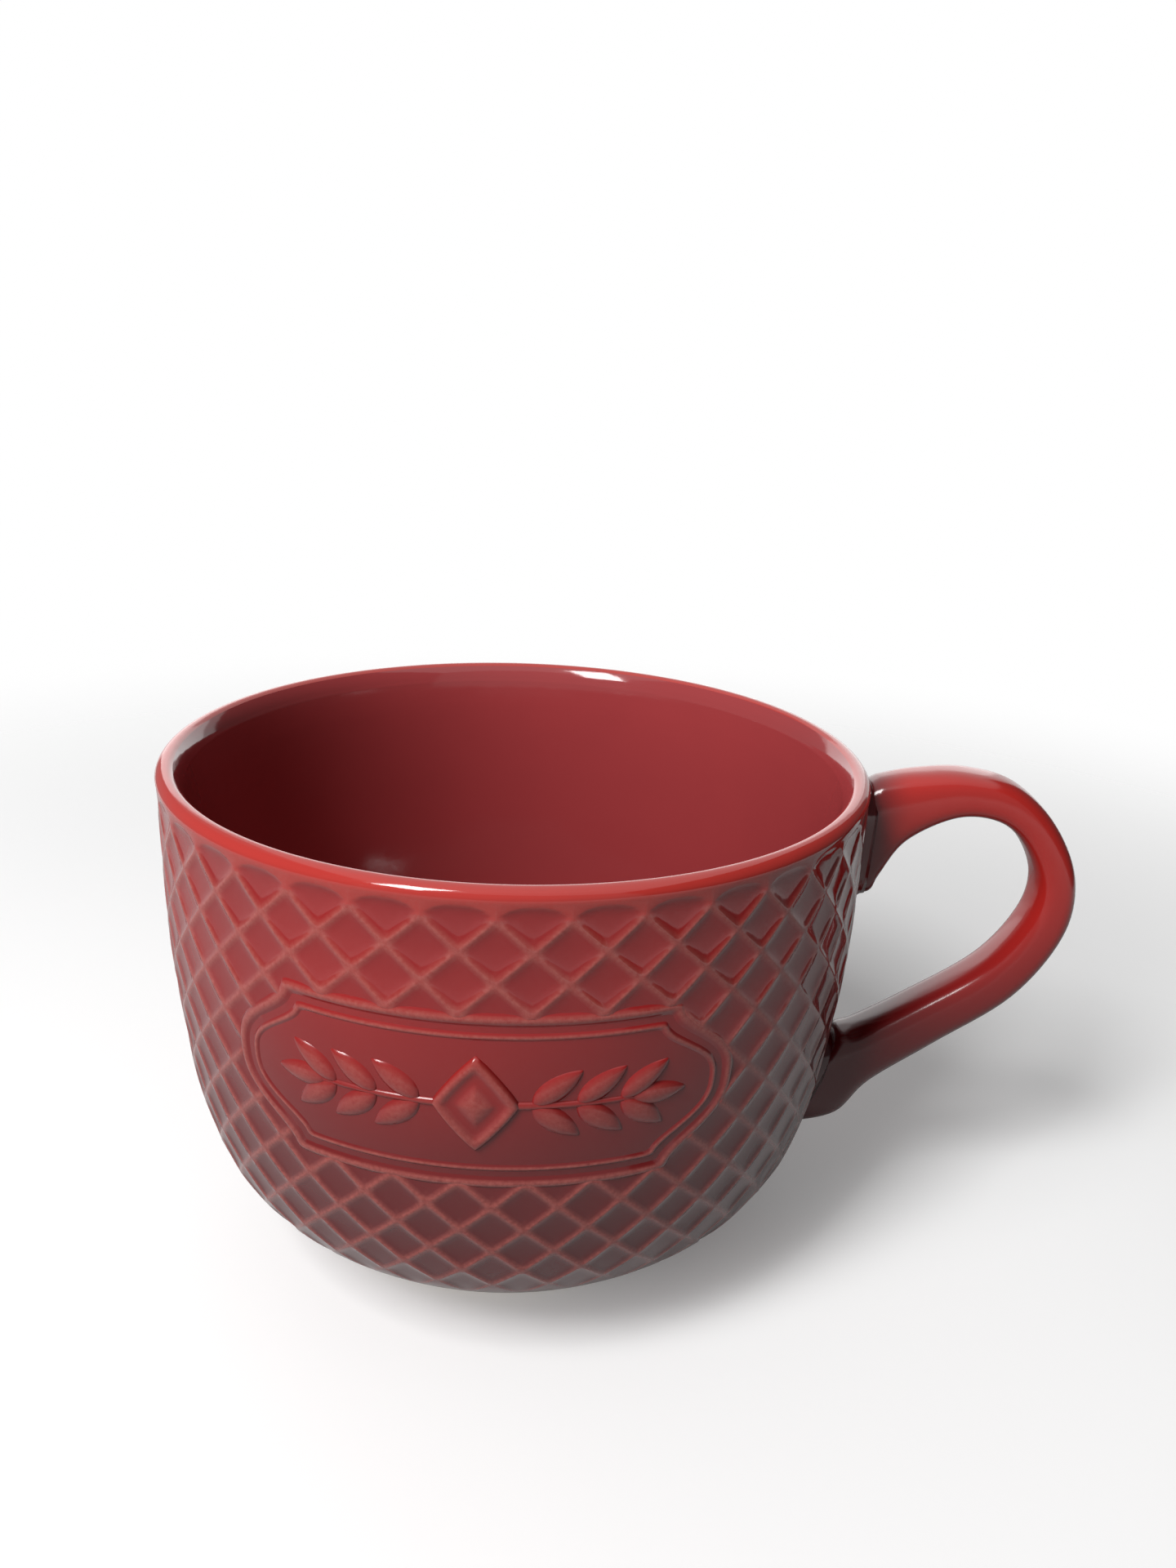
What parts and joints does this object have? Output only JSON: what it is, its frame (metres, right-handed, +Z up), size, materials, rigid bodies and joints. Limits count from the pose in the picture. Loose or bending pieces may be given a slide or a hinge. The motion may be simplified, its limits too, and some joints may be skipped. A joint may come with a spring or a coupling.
{
  "type": "soup mug",
  "caption": "Wide round-bellied glazed stoneware soup mug with an arched diamond relief net, a framed label field, an ornament and one looped strap handle.",
  "frame": {"origin": "on the table, under the cup's axis", "axes": "+Z up along the cup's axis, +X towards the handle, -Y towards the label"},
  "size_m": [0.159, 0.12, 0.09],
  "materials": {
    "glaze_red": "glossy cherry-red glaze over stoneware",
    "glaze_ribs": "the same glaze, thinner and paler on raised edges",
    "glaze_pooled": "the same glaze, pooled dark where the handle joins",
    "bare_stoneware": "unglazed fired stoneware, matt"
  },
  "bodies": {
    "root": {"cup_body": "glaze_red", "foot_ring": "bare_stoneware", "lattice_relief": "glaze_ribs", "frame_outer_bead": "glaze_ribs", "frame_inner_bead": "glaze_ribs", "label_ornament": "glaze_ribs", "handle": "glaze_red", "upper_joint": "glaze_pooled", "lower_joint": "glaze_pooled"}
  },
  "joints": []
}
